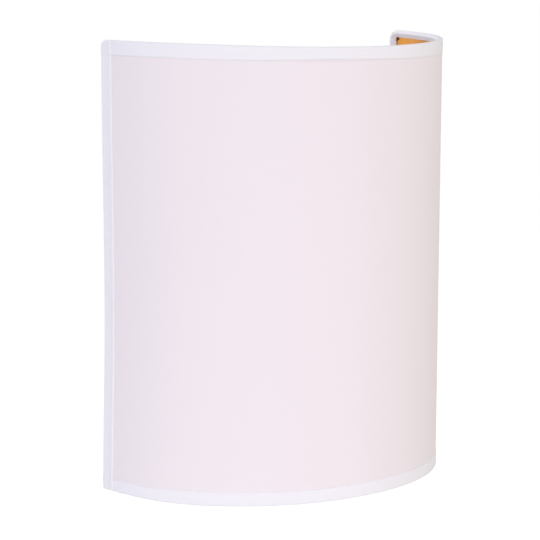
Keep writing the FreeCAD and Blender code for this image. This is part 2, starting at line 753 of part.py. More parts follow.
def holder_cap():
    """Domed lower shell, whose neck holds the end of the tube."""
    shoulder = Vector(HOLDER_NECK_RADIUS, 0, HOLDER_FOOT + HOLDER_NECK_HEIGHT)
    spring = shoulder.z + SHOULDER_HEIGHT
    inner_spring = Vector(HOLDER_BORE, 0, spring)
    section = closed_face(
        Vector(TUBE_RADIUS, 0, HOLDER_FOOT),
        Vector(HOLDER_NECK_RADIUS - HOLDER_NECK_EDGE, 0, HOLDER_FOOT),
        Vector(HOLDER_NECK_RADIUS, 0, HOLDER_FOOT + HOLDER_NECK_EDGE),
        shoulder,
        bowed(shoulder, Vector(HOLDER_RADIUS, 0, spring), -SHOULDER_BULGE),
        Vector(HOLDER_RADIUS, 0, HOLDER_JOINT),
        Vector(HOLDER_BORE, 0, HOLDER_JOINT),
        inner_spring,
        bowed(inner_spring, Vector(TUBE_RADIUS + SOCKET_WALL, 0, TUBE_END_LEVEL), SHOULDER_BULGE),
        Vector(TUBE_RADIUS, 0, TUBE_END_LEVEL))
    return turned(section).cut(lock_screw_rod())


def lock_screw_rod():
    """The grub screw's bare shank, from the tube to the outside of the neck."""
    start = Vector(0, -LAMP_OUT - TUBE_RADIUS, LOCK_SCREW_LEVEL)
    return rod(LOCK_SCREW / 2.0, start, HOLDER_NECK_RADIUS - TUBE_RADIUS, -TO_WALL)


def holder_lock_screw():
    """Slotted grub screw through the neck against the tube."""
    tube = rod(TUBE_RADIUS, Vector(0, -LAMP_OUT, HOLDER_FOOT), SOCKET_DEPTH, UP)
    driver_slot = level_slot(0, -LAMP_OUT - HOLDER_NECK_RADIUS, LOCK_SCREW_LEVEL, LOCK_SCREW)
    return lock_screw_rod().cut([driver_slot, tube])


def holder_skirt():
    """Upper shell, slightly tapered, with a bead where it meets the cap and a rounded rim."""
    rim_radius = HOLDER_RADIUS - SKIRT_TAPER
    bead_top = HOLDER_JOINT + BEAD_HEIGHT
    lip = HOLDER_WALL / 2.0
    section = closed_face(
        Vector(HOLDER_BORE, 0, HOLDER_JOINT),
        Vector(HOLDER_RADIUS + BEAD_PROUD, 0, HOLDER_JOINT),
        Vector(HOLDER_RADIUS + BEAD_PROUD, 0, bead_top),
        Vector(HOLDER_RADIUS, 0, bead_top + BEAD_PROUD),
        Vector(rim_radius, 0, HOLDER_RIM - lip),
        (Vector(rim_radius - lip, 0, HOLDER_RIM), Vector(rim_radius - HOLDER_WALL, 0, HOLDER_RIM - lip)))
    return turned(section)


def contact_carrier():
    """Insulating disc between the two shells, raised under the screw shell and the contacts."""
    low = CONTACT_LEVEL - CONTACT_CARRIER_HEIGHT
    raised = SHELL_RADIUS + SIDE_LEAF_FOOT
    section = closed_face(
        Vector(0, 0, low),
        Vector(HOLDER_BORE, 0, low),
        Vector(HOLDER_BORE, 0, HOLDER_JOINT),
        Vector(raised, 0, HOLDER_JOINT),
        Vector(raised, 0, CONTACT_LEVEL),
        Vector(0, 0, CONTACT_LEVEL))
    return turned(section).cut([rivet_shank(x) for x in RIVET_PLACES])


def screw_shell():
    """Sleeve that takes the bulb's cap, with a flared mouth."""
    inner = SHELL_BORE / 2.0
    top = HOLDER_RIM - SHELL_BELOW_RIM
    section = closed_face(
        Vector(inner, 0, CONTACT_LEVEL),
        Vector(SHELL_RADIUS, 0, CONTACT_LEVEL),
        Vector(SHELL_RADIUS, 0, top - SHELL_FLARE_HEIGHT),
        Vector(SHELL_RADIUS + SHELL_FLARE, 0, top),
        Vector(inner + SHELL_FLARE, 0, top),
        Vector(inner, 0, top - SHELL_FLARE_HEIGHT))
    return turned(section)


def rivet_seat(x):
    return Vector(x, -LAMP_OUT, CONTACT_LEVEL + LEAF_THICKNESS)


def rivet_shank(x):
    """Shank through a contact's foot and the carrier."""
    return rod(RIVET_RADIUS, rivet_seat(x), LEAF_THICKNESS + CONTACT_CARRIER_HEIGHT, -UP)


def contact_rivets():
    rivets = []
    for x in RIVET_PLACES:
        head = rod(RIVET_HEAD_RADIUS, rivet_seat(x), RIVET_HEAD_HEIGHT, UP)
        rivets.append(fused([head, rivet_shank(x)]))
    return Part.makeCompound(rivets)


def leaf(*path):
    """Strip of contact metal bent along a path in the x-z plane, with its thickness on the path's left."""
    sides = [square_to(end - start) for start, end in zip(path, path[1:])]
    before = [sides[0]] + sides
    after = sides + [sides[-1]]
    far_side = [point + (one + other) * (LEAF_THICKNESS / (1.0 + one.dot(other)))
                for point, one, other in zip(path, before, after)]
    outline = list(path) + far_side[::-1] + [path[0]]
    strip = Part.Face(Part.makePolygon(outline)).extrude(Vector(0, LEAF_WIDTH, 0))
    strip.translate(Vector(0, -LAMP_OUT - LEAF_WIDTH / 2.0, 0))
    return strip


def centre_contact():
    """Spring leaf riveted at one side, whose raised end meets the bulb's contact."""
    crest = BULB_FOOT - LEAF_THICKNESS
    spring = leaf(
        Vector(LEAF_START, 0, CONTACT_LEVEL),
        Vector(LEAF_BEND, 0, CONTACT_LEVEL),
        Vector(LEAF_CREST, 0, crest),
        Vector(LEAF_END, 0, crest))
    return spring.cut(rivet_shank(CENTRE_RIVET_PLACE))


def side_contact():
    """Upright spring tongue against the outside of the screw shell."""
    tongue = leaf(
        Vector(SHELL_RADIUS, 0, CONTACT_LEVEL + SIDE_LEAF_HEIGHT),
        Vector(SHELL_RADIUS, 0, CONTACT_LEVEL),
        Vector(SHELL_RADIUS + SIDE_LEAF_FOOT, 0, CONTACT_LEVEL))
    ledge_middle = Vector(0, -LAMP_OUT, CONTACT_LEVEL)
    over_ledge = rod(SHELL_RADIUS + SIDE_LEAF_FOOT, ledge_middle, SIDE_LEAF_HEIGHT, UP)
    return tongue.common(over_ledge).cut(rivet_shank(SIDE_RIVET_PLACE))


# Bulb

def bulb_contact():
    top = BULB_FOOT + FOOT_CONTACT_HEIGHT
    edge = Vector(FOOT_CONTACT_RADIUS - FOOT_CONTACT_EDGE, 0, BULB_FOOT)
    section = closed_face(
        Vector(0, 0, BULB_FOOT),
        edge,
        bowed(edge, Vector(FOOT_CONTACT_RADIUS, 0, top), -FOOT_CONTACT_BULGE),
        Vector(0, 0, top))
    return turned(section)


def bulb_insulator():
    """Black cone between the two contacts of the cap."""
    foot = Vector(FOOT_CONTACT_RADIUS, 0, BULB_FOOT + FOOT_CONTACT_HEIGHT)
    section = closed_face(
        Vector(0, 0, foot.z),
        foot,
        bowed(foot, Vector(INSULATOR_TOP_RADIUS, 0, CAP_FOOT), -INSULATOR_BULGE),
        Vector(0, 0, CAP_FOOT))
    return turned(section)


def bulb_screw_cap():
    """Thin metal cup round the neck of the housing."""
    lip = INSULATOR_TOP_RADIUS - CAP_LIP
    shoulder = CAP_FOOT + CAP_SHOULDER
    section = closed_face(
        Vector(lip, 0, CAP_FOOT),
        Vector(INSULATOR_TOP_RADIUS, 0, CAP_FOOT),
        Vector(CAP_DIAMETER / 2.0, 0, shoulder),
        Vector(CAP_DIAMETER / 2.0, 0, CAP_TOP),
        Vector(CAP_INNER, 0, CAP_TOP),
        Vector(CAP_INNER, 0, shoulder),
        Vector(lip, 0, CAP_FOOT + CAP_SHEET))
    return turned(section)


def bulb_housing():
    """Shell with a neck inside the screw cap, a band above it and a flare up to the diffuser.

    A ledge inside its mouth takes the board.
    """
    foot = CAP_FOOT + CAP_SHOULDER
    band = CAP_INNER + HOUSING_BAND
    waist = Vector(band, 0, CAP_TOP + HOUSING_BAND_HEIGHT)
    ledge = Vector(BOARD_RADIUS - BOARD_LEDGE, 0, BOARD_LEVEL)
    bore = CAP_INNER - HOUSING_WALL
    section = closed_face(
        Vector(bore, 0, foot),
        Vector(CAP_INNER, 0, foot),
        Vector(CAP_INNER, 0, CAP_TOP),
        Vector(band, 0, CAP_TOP),
        waist,
        bowed(waist, Vector(HOUSING_RADIUS, 0, HOUSING_TOP), HOUSING_FLARE),
        Vector(HOUSING_RADIUS - HOUSING_WALL, 0, HOUSING_TOP),
        Vector(BOARD_RADIUS, 0, BOARD_LEVEL + BOARD_THICKNESS),
        Vector(BOARD_RADIUS, 0, BOARD_LEVEL),
        ledge,
        bowed(ledge, Vector(bore, 0, waist.z), -HOUSING_FLARE))
    return turned(section)


def led_board():
    """Round board on the ledge of the housing."""
    return rod(BOARD_RADIUS, Vector(0, -LAMP_OUT, BOARD_LEVEL), BOARD_THICKNESS, UP)


def led_chips():
    """Ring of light-emitting chips on the board."""
    half = CHIP_SIDE / 2.0
    low = BOARD_LEVEL + BOARD_THICKNESS
    chips = []
    for number in range(CHIP_COUNT):
        chip = box((CHIP_CIRCLE - half, CHIP_CIRCLE + half), (-half, half), (low, low + CHIP_HEIGHT))
        chip.rotate(ORIGIN, UP, number * 360.0 / CHIP_COUNT)
        chip.translate(Vector(0, -LAMP_OUT, 0))
        chips.append(chip)
    return Part.makeCompound(chips)


def globe_curve(skin):
    """Ends and middles of the two arcs of the globe's section, a skin inside its outside."""
    globe = BULB_RADIUS - skin
    edge = HOUSING_RADIUS - skin
    drop = BULB_CENTRE - HOUSING_TOP
    narrowing = globe - edge
    side_radius = (narrowing ** 2 + drop ** 2) / (2.0 * narrowing)
    side_middle = globe - side_radius + math.sqrt(side_radius ** 2 - (drop / 2.0) ** 2)
    diagonal = globe * math.sqrt(0.5)
    return [
        Vector(edge, 0, HOUSING_TOP),
        Vector(side_middle, 0, BULB_CENTRE - drop / 2.0),
        Vector(globe, 0, BULB_CENTRE),
        Vector(diagonal, 0, BULB_CENTRE + diagonal),
        Vector(0, 0, BULB_CENTRE + globe)]


def bulb_diffuser():
    """Opal globe: a shallow curve up from the housing that runs into a sphere."""
    outside = globe_curve(0)
    inside = globe_curve(DIFFUSER_SKIN)
    section = closed_face(
        outside[0],
        (outside[1], outside[2]),
        (outside[3], outside[4]),
        inside[4],
        (inside[3], inside[2]),
        (inside[1], inside[0]))
    return turned(section)


SUB_PARTS = {
    "fabric_cover": fabric_cover,
    "gold_lining": gold_lining,
    "top_trim": top_trim,
    "bottom_trim": bottom_trim,
    "left_side_trim": left_side_trim,
    "right_side_trim": right_side_trim,
    "rim_wire": rim_wire,
    "upper_carrier": lambda: carrier(CARRIER_LEVEL),
    "lower_carrier": lambda: carrier(-CARRIER_LEVEL),
    "wall_plate": wall_plate,
    "canopy": canopy,
    "canopy_screws": canopy_screws,
    "cable_grommet": cable_grommet,
    "terminal_block": terminal_block,
    "terminal_tubes": terminal_tubes,
    "terminal_screws": terminal_screws,
    "terminal_fixing_screw": terminal_fixing_screw,
    "earth_screw": earth_screw,
    "earth_washer": earth_washer,
    "arm_tube": arm_tube,
    "arm_collar": arm_collar,
    "arm_washer": arm_washer,
    "arm_nut": arm_nut,
    "holder_cap": holder_cap,
    "holder_skirt": holder_skirt,
    "holder_lock_screw": holder_lock_screw,
    "contact_carrier": contact_carrier,
    "screw_shell": screw_shell,
    "centre_contact": centre_contact,
    "side_contact": side_contact,
    "contact_rivets": contact_rivets,
    "bulb_contact": bulb_contact,
    "bulb_insulator": bulb_insulator,
    "bulb_screw_cap": bulb_screw_cap,
    "bulb_housing": bulb_housing,
    "led_board": led_board,
    "led_chips": led_chips,
    "bulb_diffuser": bulb_diffuser,
}

os.makedirs("parts", exist_ok=True)
for name, make in SUB_PARTS.items():
    make().exportStep("parts/" + name + ".step")
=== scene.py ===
import json
import math

import bpy
from mathutils import Matrix, Vector

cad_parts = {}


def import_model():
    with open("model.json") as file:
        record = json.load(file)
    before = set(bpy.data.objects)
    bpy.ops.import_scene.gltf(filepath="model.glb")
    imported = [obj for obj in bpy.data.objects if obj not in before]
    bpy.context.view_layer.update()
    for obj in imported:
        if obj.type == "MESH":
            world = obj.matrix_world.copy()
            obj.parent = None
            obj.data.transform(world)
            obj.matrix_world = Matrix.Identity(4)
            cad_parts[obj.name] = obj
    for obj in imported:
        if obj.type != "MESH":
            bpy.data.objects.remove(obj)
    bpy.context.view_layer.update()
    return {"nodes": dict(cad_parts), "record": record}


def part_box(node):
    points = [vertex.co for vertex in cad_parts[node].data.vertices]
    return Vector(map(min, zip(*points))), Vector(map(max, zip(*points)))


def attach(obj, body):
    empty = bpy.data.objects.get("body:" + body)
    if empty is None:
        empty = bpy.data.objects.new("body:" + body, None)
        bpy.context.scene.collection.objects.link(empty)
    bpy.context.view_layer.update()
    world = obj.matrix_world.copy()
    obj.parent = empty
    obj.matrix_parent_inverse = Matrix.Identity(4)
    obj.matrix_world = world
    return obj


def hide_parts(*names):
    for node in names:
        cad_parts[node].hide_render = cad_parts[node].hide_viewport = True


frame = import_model()

MM = 0.001

# The shade's plan is an arc with a straight run at each end, as wide as the tape. s runs along the plan
# from the front, and d is how far a point stands out of the arc of RADIUS. WALL_GAP, from the wall to the
# back edges, is a little more than the gap behind the wire of the CAD.
TAPE_WIDTH = 10.0 * MM
GAP_BEYOND_WIRE = 0.27 * MM
WALL_GAP = GAP_BEYOND_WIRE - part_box("rim_wire")[1].y
RADIUS = 130.0 * MM
HALF_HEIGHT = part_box("top_trim")[1].z
LEAN = math.atan(TAPE_WIDTH / RADIUS)
ARC = RADIUS * (math.pi / 2 - LEAN)
HALF_GIRTH = ARC + TAPE_WIDTH

# The layers of the shade, by d. The lining's face is the gold one, on its inner side.
TAPE_FACE = 0.0
TAPE_THICKNESS = 0.35 * MM
FABRIC_FACE = TAPE_FACE - TAPE_THICKNESS
FABRIC_THICKNESS = 0.5 * MM
LINING_THICKNESS = 0.4 * MM
LINING_FACE = FABRIC_FACE - FABRIC_THICKNESS - LINING_THICKNESS
WIRE_RADIUS = 1.5 * MM
WIRE_D = LINING_FACE - WIRE_RADIUS
WIRE_DEPTH = TAPE_THICKNESS + WIRE_RADIUS
SHEET_MARGIN = 0.4 * MM

# The tape's fold over the edge, round the wire and down the lining
EDGE_ROUND = 0.9 * MM
EDGE_SAG = 0.06 * MM
ROLL_END = math.radians(208)
LEG_START = 4.6 * MM
LEG_END = 5.25 * MM
LEG_LIFT = 0.12 * MM
LEG_SLANT = 0.1 * MM
UNDER_LEG_GAP = 0.05 * MM
UNDER_LEG_START = 0.3 * MM

# The cut edge of the rim tapes, and their ends, tucked under the side tapes
CUT_DROP = 0.1 * MM
CUT_RUN = 0.12 * MM
FLAT_END = 1.4 * EDGE_ROUND
TUCKED_END = 2.0 * MM
TUCK = 0.28 * MM
TUCK_RUN = 0.4 * MM

# The turned-in front edge of the side tapes, and their rise over the rim tapes' ends
RIDGE_WIDTH = 2.0 * MM
RIDGE_HEIGHT = 0.30 * MM
RIDGE_FOOT = 0.25
RIDGE_CREST = 0.7
RIDGE_FALL = 0.3
OVER_TRIM = 0.22 * MM
OVER_TRIM_LEAD = 1.5 * MM
OVER_TRIM_RUN = 3.5 * MM
BEHIND_RIDGE = (6.5 * MM, 1.3 * MM)

# Radii of the side tapes' corners
LEFT_TOP_CORNER = 4.7 * MM
RIGHT_TOP_CORNER = 7.2 * MM
BOTTOM_CORNER = 1.5 * MM
SMALLEST_CORNER = 0.3 * MM

# How much of the rims' tapes shows: the top one least near the front, the bottom one least at its ends
TOP_LEG = 9.7 * MM
TOP_LEG_LOSS = 1.7 * MM
TOP_LEG_MIDDLE = -26.0 * MM
TOP_LEG_WAVES = (11 * MM, 31 * MM)
BOTTOM_LEG = 9.2 * MM
BOTTOM_LEG_LOSS = 1.6 * MM
BOTTOM_LEG_WAVES = (9 * MM, 27 * MM)
LEG_REACH = 60.0 * MM
LEG_WOBBLE = 0.1 * MM

# The dog-ear of the lining inside each top corner
EAR_REACH = 3.0 * MM
EAR_DROP = 1.1 * EAR_REACH
EAR_NARROWER_BELOW = 0.35
EAR_SHORTER_AWAY = 0.5
EAR_RISE = 1.2 * MM
EAR_UNDER_TAPE = 0.4 * MM
EAR_OFF_LINING = 0.15 * MM
EAR_THICKNESS = 0.2 * MM

# The soft back edges are drawn in a little near mid-height
BOW = 1.75 * MM
BOW_LEVEL = -25.0 * MM
BOW_REACH_UP = 165.0 * MM
BOW_REACH_DOWN = 130.0 * MM
BOW_START = 0.55 * ARC

# Both rims give a little at the front, and the bottom one hangs a little at its left end. Each hump has
# its middle along the plan, its height there, and its reach to the left and to the right.
DIP_DEPTH = 60.0 * MM
TOP_DIP = (0.0, -2.1 * MM, 175.0 * MM, 230.0 * MM)
BOTTOM_RISE = (20.0 * MM, 1.8 * MM, 158.0 * MM, 135.0 * MM)
BOTTOM_SAG = (-148.0 * MM, -0.65 * MM, 55.0 * MM, 55.0 * MM)

# Lower down, the shade is a little wider and hangs a little to the right
FLARE = 0.6 * MM
SKEW = 0.7 * MM

# The upper right corner stands a little out and off the wall
CORNER_OUT = 1.8 * MM
CORNER_OFF_WALL = 1.6 * MM
CORNER_START = 0.45 * HALF_GIRTH
CORNER_LOW = 95.0 * MM
CORNER_HIGH = 140.0 * MM

# Numbers of points in the meshes
SHEET_COLUMNS = 181
SHEET_ROWS = 61
RIM_COLUMNS = 219
RIM_ROWS = 8
EDGE_POINTS = 6
ROLL_POINTS = 12
CORNER_POINTS = 13
BACK_EDGE_POINTS = 74
BEHIND_RIDGE_ROWS = 5
WIRE_POINTS = 97
EAR_POINTS = 9

# Camera, as solved from the outline of the shade in the photograph
CAMERA_PLACE = Vector((-969.4, -1142.5, 222.4)) * MM
CAMERA_HEADING = math.radians(40.83)
CAMERA_PITCH = math.radians(8.98)
CAMERA_ROLL = math.radians(0.44)
CAMERA_LENS = 144.3
CAMERA_SENSOR = 36.0


# Shapes

def smooth(value):
    value = min(max(value, 0.0), 1.0)
    return value * value * (3.0 - 2.0 * value)


def hump(value, reach):
    """1 at 0, falling smoothly to 0 where the value is the reach."""
    return math.cos(min(abs(value) / reach, 1.0) * math.pi / 2) ** 2


def drawn_in(s, z):
    """How far the sheet is drawn towards the middle of the light."""
    near_edge = smooth((abs(s) - BOW_START) / (HALF_GIRTH - BOW_START))
    above = z - BOW_LEVEL
    return BOW * near_edge * hump(above, BOW_REACH_DOWN if above < 0 else BOW_REACH_UP)


def dipped(s, z):
    """Level of a point of the sheet, moved by its rim's humps."""
    rise = 0.0
    for middle, height, reach_left, reach_right in [TOP_DIP] if z > 0 else [BOTTOM_RISE, BOTTOM_SAG]:
        rise += height * hump(s - middle, reach_left if s < middle else reach_right)
    return z + rise * smooth((abs(z) - HALF_HEIGHT + DIP_DEPTH) / DIP_DEPTH)


def placed(s, d, z):
    """The point at s along the plan, d out of it and z up."""
    arc = min(abs(s), ARC)
    turn = arc / RADIUS
    beyond = abs(s) - arc
    down = 0.5 - z / (2.0 * HALF_HEIGHT)
    radius = RADIUS + d + FLARE * down
    x = radius * math.sin(turn) + beyond * math.sin(LEAN) - drawn_in(s, z)
    y = -WALL_GAP - radius * math.cos(turn) + beyond * math.cos(LEAN)
    to_corner = smooth((s - CORNER_START) / (HALF_GIRTH - CORNER_START))
    to_corner *= smooth((z - CORNER_LOW) / (CORNER_HIGH - CORNER_LOW))
    x += CORNER_OUT * to_corner
    y -= CORNER_OFF_WALL * to_corner
    return Vector((math.copysign(x, s) + SKEW * down, y, dipped(s, z)))


def spread(start, end, count):
    return [start + (end - start) * step / (count - 1) for step in range(count)]


def grid_piece(name, rows, places):
    """Smooth sheet through rows of points. places gives each point's u and v, in metres on the cloth."""
    width = len(rows[0])
    mesh = bpy.data.meshes.new(name)
    faces = []
    for i in range(len(rows) - 1):
        for j in range(width - 1):
            corner = i * width + j
            faces.append((corner, corner + width, corner + width + 1, corner + 1))
    mesh.from_pydata([point for row in rows for point in row], [], faces)
    flat = [place for row in places for place in row]
    uv = mesh.uv_layers.new(name="cloth")
    for loop in mesh.loops:
        uv.data[loop.index].uv = flat[loop.vertex_index]
    mesh.shade_smooth()
    piece = bpy.data.objects.new(name, mesh)
    bpy.context.scene.collection.objects.link(piece)
    return piece


def thicken(piece, thickness):
    solid = piece.modifiers.new("thickness", "SOLIDIFY")
    solid.thickness = thickness
    solid.offset = -1


def top_corner_of(s):
    return RIGHT_TOP_CORNER if s > 0 else LEFT_TOP_CORNER


def corner_cuts(s):
    """How far the rounded back corners cut into the sheet at s, from the top and from the bottom."""
    beyond = abs(s) - HALF_GIRTH
    cuts = []
    for corner in (top_corner_of(s), BOTTOM_CORNER):
        inside = max(beyond + corner, 0.0)
        cuts.append(corner - math.sqrt(max(corner ** 2 - inside ** 2, 0.0)))
    return cuts


def laminate(name, outer_face, thickness):
    """One sheet of the laminate, inside the tapes' edges."""
    rows, places = [], []
    for s in spread(-HALF_GIRTH + SHEET_MARGIN, HALF_GIRTH - SHEET_MARGIN, SHEET_COLUMNS):
        top_cut, bottom_cut = corner_cuts(s)
        low = -HALF_HEIGHT + SHEET_MARGIN + bottom_cut
        high = HALF_HEIGHT - SHEET_MARGIN - top_cut
        levels = spread(low, high, SHEET_ROWS)
        rows.append([placed(s, outer_face, z) for z in levels])
        places.append([(s, z) for z in levels])
    piece = grid_piece(name, rows, places)
    thicken(piece, thickness)
    return piece


def fold(tuck=0.0):
    """Section of the tape's fold, from the outer face round the wire to the end of the inner leg.

    Its points are (d, depth below the edge). tuck draws them in towards the wire.
    """
    points = []
    for turn in spread(0, math.pi / 2, EDGE_POINTS):
        d = TAPE_FACE - EDGE_ROUND * (1 - math.cos(turn))
        points.append((d, EDGE_ROUND * (1 - math.sin(turn))))
    points.append(((TAPE_FACE - EDGE_ROUND + WIRE_D) / 2, EDGE_SAG))
    for turn in spread(math.pi / 2, ROLL_END, ROLL_POINTS):
        points.append((WIRE_D + WIRE_DEPTH * math.cos(turn), WIRE_DEPTH * (1 - math.sin(turn))))
    points.append((LINING_FACE - TAPE_THICKNESS, LEG_START))
    points.append((LINING_FACE - TAPE_THICKNESS - LEG_LIFT, LEG_END - LEG_SLANT))
    points.append((LINING_FACE - LEG_LIFT, LEG_END))
    points.append((LINING_FACE - UNDER_LEG_GAP, LEG_START + UNDER_LEG_START))
    drawn = []
    for d, depth in points:
        reach = math.hypot(d - WIRE_D, depth - WIRE_DEPTH)
        share = 1.0 - tuck / reach
        drawn.append((WIRE_D + (d - WIRE_D) * share, WIRE_DEPTH + (depth - WIRE_DEPTH) * share))
    return drawn


def cloth_lengths(section):
    """Distance of each point of a section along it."""
    lengths = [0.0]
    for (d, depth), (next_d, next_depth) in zip(section, section[1:]):
        lengths.append(lengths[-1] + math.hypot(next_d - d, next_depth - depth))
    return lengths


def wobble(s, waves, shift=0.0):
    """Small unevenness of a tape's edge, as the product of two waves."""
    short, long = waves
    return LEG_WOBBLE * math.sin(s / short + shift) * math.sin(s / long)


def top_leg(s):
    """How much of the top rim's tape shows outside."""
    near_middle = math.exp(-((s - TOP_LEG_MIDDLE) / LEG_REACH) ** 2)
    return TOP_LEG - TOP_LEG_LOSS * near_middle + wobble(s, TOP_LEG_WAVES)


def bottom_leg(s):
    near_end = smooth((abs(s) - ARC) / LEG_REACH + 1.0)
    return BOTTOM_LEG - BOTTOM_LEG_LOSS * near_end + wobble(s, BOTTOM_LEG_WAVES, shift=1.0)


def rim_tape(name, side):
    """Tape over the top rim, or over the bottom rim with side -1."""
    rows, places = [], []
    tuck_start = ARC - TUCK_RUN
    end = [ARC, ARC + TUCKED_END / 2, ARC + TUCKED_END]
    for s in [-s for s in reversed(end)] + spread(-tuck_start, tuck_start, RIM_COLUMNS) + end:
        tuck = TUCK * smooth((abs(s) - tuck_start) / (ARC - tuck_start))
        leg = top_leg(s) if side > 0 else bottom_leg(s)
        section = [(FABRIC_FACE, leg), (TAPE_FACE - CUT_DROP, leg)]
        section += [(TAPE_FACE, depth) for depth in spread(leg - CUT_RUN, FLAT_END, RIM_ROWS)]
        section += fold(tuck)
        rows.append([placed(s, d, side * (HALF_HEIGHT - depth)) for d, depth in section])
        places.append([(s, length) for length in cloth_lengths(section)])
    piece = grid_piece(name, rows, places)
    if side < 0:
        piece.data.flip_normals()
    return piece


def border(depth, run_shares, side):
    """Outline of the side tape at a depth inside its edge, as (distance from its front edge, z).

    It runs along the bottom from the front edge, up the back edge and along the top to the front edge.
    run_shares places its points along the bottom and the top.
    """
    back = TAPE_WIDTH - depth
    top_corner = min(max(top_corner_of(side) - depth, SMALLEST_CORNER), max(back, 0.0))
    bottom_corner = min(max(BOTTOM_CORNER - depth, SMALLEST_CORNER), max(back, 0.0))
    low = -HALF_HEIGHT + depth
    high = HALF_HEIGHT - depth
    points = []
    for share in run_shares:
        points.append((share * (back - bottom_corner), low))
    for turn in spread(0, math.pi / 2, CORNER_POINTS)[1:]:
        z = low + bottom_corner * (1 - math.cos(turn))
        points.append((back - bottom_corner * (1 - math.sin(turn)), z))
    for z in spread(low + bottom_corner, high - top_corner, BACK_EDGE_POINTS)[1:-1]:
        points.append((back, z))
    for turn in spread(0, math.pi / 2, CORNER_POINTS)[:-1]:
        z = high - top_corner * (1 - math.sin(turn))
        points.append((back - top_corner * (1 - math.cos(turn)), z))
    for share in reversed(run_shares):
        points.append((share * (back - top_corner), high))
    return points


def ridge(t):
    """How far the side tape's turned-in edge lifts it, at t behind its front edge."""
    share = t / RIDGE_WIDTH
    return RIDGE_HEIGHT * (RIDGE_FOOT + share) * (1.0 - smooth((share - RIDGE_CREST) / RIDGE_FALL))


def over_trim(z):
    """How far the side tape is lifted by the end of the rim's tape under it."""
    return OVER_TRIM * smooth((abs(z) - HALF_HEIGHT + TAPE_WIDTH + OVER_TRIM_LEAD) / OVER_TRIM_RUN)


def side_tape(name, side):
    """Tape folded over a back edge, up to the ends of the rims. side is 1 on the right."""
    run_shares = [0.0, 0.04, 0.08, 0.13, 0.19, 0.26, 0.34, 0.5, 0.75, 1.0]
    ridge_shares = (0.0, 0.15, 0.3, 0.45, 0.6, 0.75, 0.9, 1.1)
    rows, places = [], []

    def add_row(depth, d, flat_depth):
        """Row at a depth inside the edge and at d, which lies at flat_depth on the flat tape."""
        outline = border(depth, run_shares, side)
        outside = smooth((d - WIRE_D) / (TAPE_FACE - WIRE_D))
        row = []
        for t, z in outline:
            row.append(placed(side * (ARC + t), d + outside * (ridge(t) + over_trim(z)), z))
        ends = [placed(side * (ARC + t), FABRIC_FACE, z) for t, z in (outline[0], outline[-1])]
        rows.append([ends[0]] + row + [ends[1]])
        flat = border(flat_depth, run_shares, side)
        places.append([flat[0]] + flat + [flat[-1]])

    front = border(TAPE_WIDTH, run_shares, side)
    front = [front[0]] + front + [front[-1]]
    rows.append([placed(side * (ARC + t), FABRIC_FACE, z) for t, z in front])
    places.append(front)
    flat_part = [TAPE_WIDTH - share * RIDGE_WIDTH for share in ridge_shares]
    flat_part += spread(*BEHIND_RIDGE, BEHIND_RIDGE_ROWS)
    for depth in flat_part:
        add_row(depth, TAPE_FACE, depth)
    section = fold()
    for (d, depth), length in zip(section, cloth_lengths(section)):
        add_row(depth, d, EDGE_ROUND - length)
    piece = grid_piece(name, rows, places)
    if side < 0:
        piece.data.flip_normals()
    return piece


def wire_frame():
    """The bent wire inside the tapes, as one closed run."""
    z = HALF_HEIGHT - WIRE_DEPTH
    run_shares = [0.0, 0.5, 1.0]
    right = border(WIRE_DEPTH, run_shares, 1)[1:]
    left = border(WIRE_DEPTH, run_shares, -1)[::-1][1:-1]
    points = [placed(s, WIRE_D, -z) for s in spread(-ARC, ARC, WIRE_POINTS)]
    points += [placed(ARC + t, WIRE_D, level) for t, level in right]
    points += [placed(s, WIRE_D, z) for s in spread(ARC, -ARC, WIRE_POINTS)[1:]]
    points += [placed(-ARC - t, WIRE_D, level) for t, level in left]
    curve = bpy.data.curves.new("wire_frame", "CURVE")
    curve.dimensions = "3D"
    curve.bevel_depth = WIRE_RADIUS
    curve.bevel_resolution = 4
    spline = curve.splines.new("POLY")
    spline.points.add(len(points) - 1)
    for point, place in zip(spline.points, points):
        point.co = (*place, 1.0)
    spline.use_cyclic_u = True
    spline.use_smooth = True
    piece = bpy.data.objects.new("wire_frame", curve)
    bpy.context.scene.collection.objects.link(piece)
    return piece


def corner_fold(name, side):
    """Small dog-ear of the lining where the two tapes meet inside a top corner."""
    corner_s = HALF_GIRTH - LEG_END + EAR_UNDER_TAPE
    corner_z = HALF_HEIGHT - LEG_END + EAR_UNDER_TAPE
    rows, places = [], []
    for across in spread(0.0, 1.0, EAR_POINTS):
        row, place = [], []
        for down in spread(0.0, 1.0, EAR_POINTS):
            s = corner_s - EAR_REACH * across * (1.0 - EAR_NARROWER_BELOW * down)
            z = corner_z - EAR_DROP * down * (1.0 - EAR_SHORTER_AWAY * across)
            crease = smooth(across * 1.2) * smooth(down * 1.3)
            row.append(placed(side * s, LINING_FACE - EAR_OFF_LINING - EAR_RISE * crease, z))
            place.append((s, z))
        rows.append(row)
        places.append(place)
    piece = grid_piece(name, rows, places)
    thicken(piece, EAR_THICKNESS)
    return piece


# Materials

# Sockets of Blender's mix node when it mixes colours
MIX_FIRST = 6
MIX_SECOND = 7
MIX_RESULT = 2


